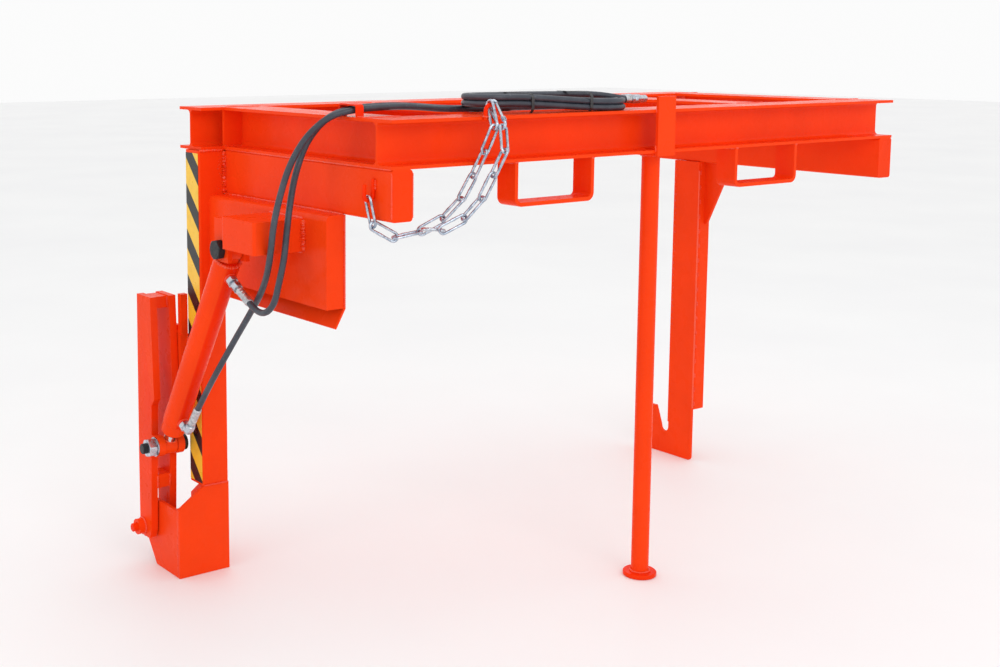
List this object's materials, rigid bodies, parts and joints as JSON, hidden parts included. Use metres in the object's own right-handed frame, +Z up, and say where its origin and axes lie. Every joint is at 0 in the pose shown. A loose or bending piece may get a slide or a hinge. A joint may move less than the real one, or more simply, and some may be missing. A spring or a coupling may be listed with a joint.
{
  "type": "forklift clamp lifting frame",
  "caption": "Fork-carried steel frame with fork pockets, a hydraulic clamp lever on one side, a hook arm on the other, a prop leg in front, a hose hank and a safety chain.",
  "frame": {"origin": "centre of the underside of the prop leg's foot disc, on the ground", "axes": "+X along the frame towards the hook arm, +Y from the front beam to the rear beam, +Z up"},
  "size_m": [2.112, 1.045, 1.3398],
  "materials": {
    "orange_paint": "glossy orange-red powder coat",
    "zinc_steel": "zinc plated",
    "black_steel": "black oxide",
    "rod_chrome": "hard chrome",
    "hose_rubber": "smooth dark rubber cover",
    "tie_plastic": "black nylon",
    "warning_tape": "yellow and black diagonal striped film"
  },
  "bodies": {
    "frame": {"front_beam": "orange_paint", "rear_beam": "orange_paint", "left_beam": "orange_paint", "right_beam": "orange_paint", "inner_beam_left": "orange_paint", "inner_beam_right": "orange_paint", "corner_stiffeners": "orange_paint", "left_side_tube": "orange_paint", "right_side_tube": "orange_paint", "tube_end_caps": "orange_paint", "fork_pocket_left": "orange_paint", "fork_pocket_right": "orange_paint", "front_stop_bar": "orange_paint", "leg_tube": "orange_paint", "leg_head_plate": "orange_paint", "leg_foot_disc": "orange_paint", "guide_plate": "orange_paint", "guide_box": "orange_paint", "bracket_box": "orange_paint", "bracket_lugs": "orange_paint", "left_post": "orange_paint", "shoe_front_plate": "orange_paint", "shoe_outer_plate": "orange_paint", "shoe_inner_plate": "orange_paint", "shoe_floor_plate": "orange_paint", "shoe_pivot_lug": "orange_paint", "catch_plate": "orange_paint", "catch_face": "orange_paint", "hazard_tape": "warning_tape", "arm_tube": "orange_paint", "hook_plate": "orange_paint", "arm_gusset": "orange_paint", "weld_beads": "orange_paint", "chain_hook_side": "orange_paint", "chain_hook_top": "orange_paint", "chain_links": "zinc_steel", "chain_loose_end": "zinc_steel", "chain_end_hook": "zinc_steel", "snap_hook_body": "zinc_steel", "hose_clip": "orange_paint", "pivot_bolt": "orange_paint", "upper_pin_bolt": "black_steel", "hose_upper": "hose_rubber", "hose_lower": "hose_rubber", "hose_hank": "hose_rubber", "hank_ties": "tie_plastic", "quick_couplers": "zinc_steel"},
    "clamp_lever": {"lever_outer_plate": "orange_paint", "lever_inner_plate": "orange_paint", "lever_cross_plates": "orange_paint", "lever_bushes": "orange_paint", "lower_pin_bolt": "black_steel"},
    "cylinder_barrel": {"cylinder_barrel": "orange_paint", "cylinder_gland": "orange_paint", "port_fittings": "zinc_steel", "hose_ferrules": "zinc_steel"},
    "piston_rod": {"cylinder_piston": "zinc_steel", "piston_rod": "rod_chrome", "rod_eye": "orange_paint"},
    "snap_gate": {"snap_hook_gate": "zinc_steel"}
  },
  "joints": [
    {"name": "lever_pivot", "type": "hinge", "parent": "frame", "child": "clamp_lever", "pos_m": [-1.046, 0.87, 0.108], "axis": [-1, 0, 0], "range_deg": [0, 15]},
    {"name": "barrel_swing", "type": "hinge", "parent": "frame", "child": "cylinder_barrel", "pos_m": [-1.046, 0.421, 0.952], "axis": [1, 0, 0], "range_deg": [0, 5.3], "deforming": ["hose_upper", "hose_lower"]},
    {"name": "rod_slide", "type": "slide", "parent": "cylinder_barrel", "child": "piston_rod", "axis": [0, 0.5225, -0.8526], "range_m": [0, 0.0255]},
    {"name": "snap_gate_hinge", "type": "hinge", "parent": "frame", "child": "snap_gate", "pos_m": [-0.6125, -0.10242, 1.28854], "axis": [1, 0, 0], "range_deg": [-6, 0], "stiffness_Nm_per_rad": 0.05, "springref_deg": 5.73}
  ],
  "couplings": [
    {"joint": "barrel_swing", "follows": "lever_pivot", "ratio": 0.3476},
    {"joint": "rod_slide", "follows": "lever_pivot", "m_per_rad": 0.09473}
  ]
}
